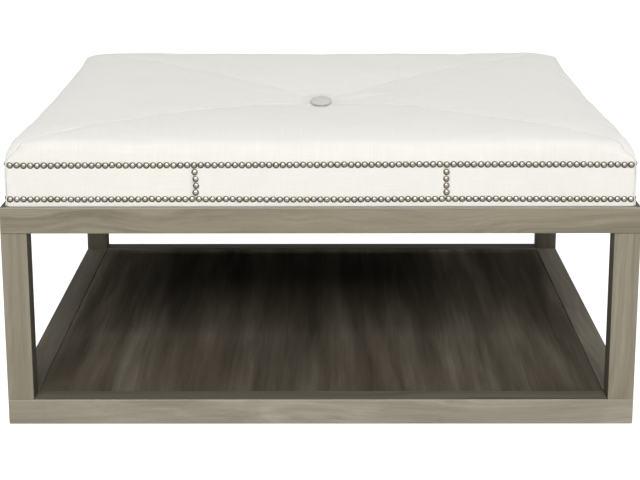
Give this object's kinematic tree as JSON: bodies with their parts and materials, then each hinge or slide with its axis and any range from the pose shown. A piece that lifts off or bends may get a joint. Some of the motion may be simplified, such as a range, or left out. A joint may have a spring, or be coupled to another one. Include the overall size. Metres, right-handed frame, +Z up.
{
  "type": "ottoman",
  "caption": "Square upholstered ottoman with mitred cover panels, a tufted button and nail trim, on an open square-section timber base with a low shelf.",
  "frame": {"origin": "on the floor, under the middle of the seat", "axes": "+Z up, the front faces -Y, +X to the right seen from the front"},
  "size_m": [1.067, 1.067, 0.498],
  "materials": {
    "base_wood": "satin",
    "shelf_wood": "satin",
    "dowel_beech": "matte",
    "frame_timber": "matte",
    "plywood": "matte",
    "cover_fabric": "matte",
    "foam": "matte",
    "wadding": "matte",
    "dust_cloth": "matte",
    "nail_metal": "satin",
    "fixing_steel": "satin",
    "nylon": "matte",
    "twine": "matte"
  },
  "bodies": {
    "root": {"base_rail_front": "base_wood", "top_rail_front": "base_wood", "base_rail_back": "base_wood", "top_rail_back": "base_wood", "base_rail_left": "base_wood", "top_rail_left": "base_wood", "base_rail_right": "base_wood", "top_rail_right": "base_wood", "post_front_left": "base_wood", "post_front_right": "base_wood", "post_back_left": "base_wood", "post_back_right": "base_wood", "post_dowels": "dowel_beech", "mitre_biscuits": "dowel_beech", "floor_glides": "nylon", "shelf_panel": "shelf_wood", "shelf_cleat_front": "base_wood", "shelf_cleat_back": "base_wood", "shelf_cleat_left": "base_wood", "shelf_cleat_right": "base_wood", "cleat_screws": "fixing_steel", "shelf_screws": "fixing_steel", "seat_fixing_screws": "fixing_steel", "cover_panel_front": "cover_fabric", "cover_panel_back": "cover_fabric", "cover_panel_left": "cover_fabric", "cover_panel_right": "cover_fabric", "seat_box_rail_front": "frame_timber", "deck_ledger_front": "frame_timber", "seat_box_rail_back": "frame_timber", "deck_ledger_back": "frame_timber", "seat_box_rail_left": "frame_timber", "deck_ledger_left": "frame_timber", "seat_box_rail_right": "frame_timber", "deck_ledger_right": "frame_timber", "cross_brace_left": "frame_timber", "cross_brace_right": "frame_timber", "seat_deck": "plywood", "box_dowels": "dowel_beech", "corner_blocks": "frame_timber", "ledger_screws": "fixing_steel", "brace_screws": "fixing_steel", "deck_screws": "fixing_steel", "foam_core": "foam", "polyester_wadding": "wadding", "cover_staples": "fixing_steel", "dust_cover": "dust_cloth", "dust_cover_staples": "fixing_steel", "nails_front": "nail_metal", "nails_back": "nail_metal", "nails_left": "nail_metal", "nails_right": "nail_metal", "button_cover": "cover_fabric", "button_shell": "fixing_steel", "button_back": "fixing_steel", "tufting_twine": "twine", "twine_washer": "nylon"}
  },
  "joints": []
}
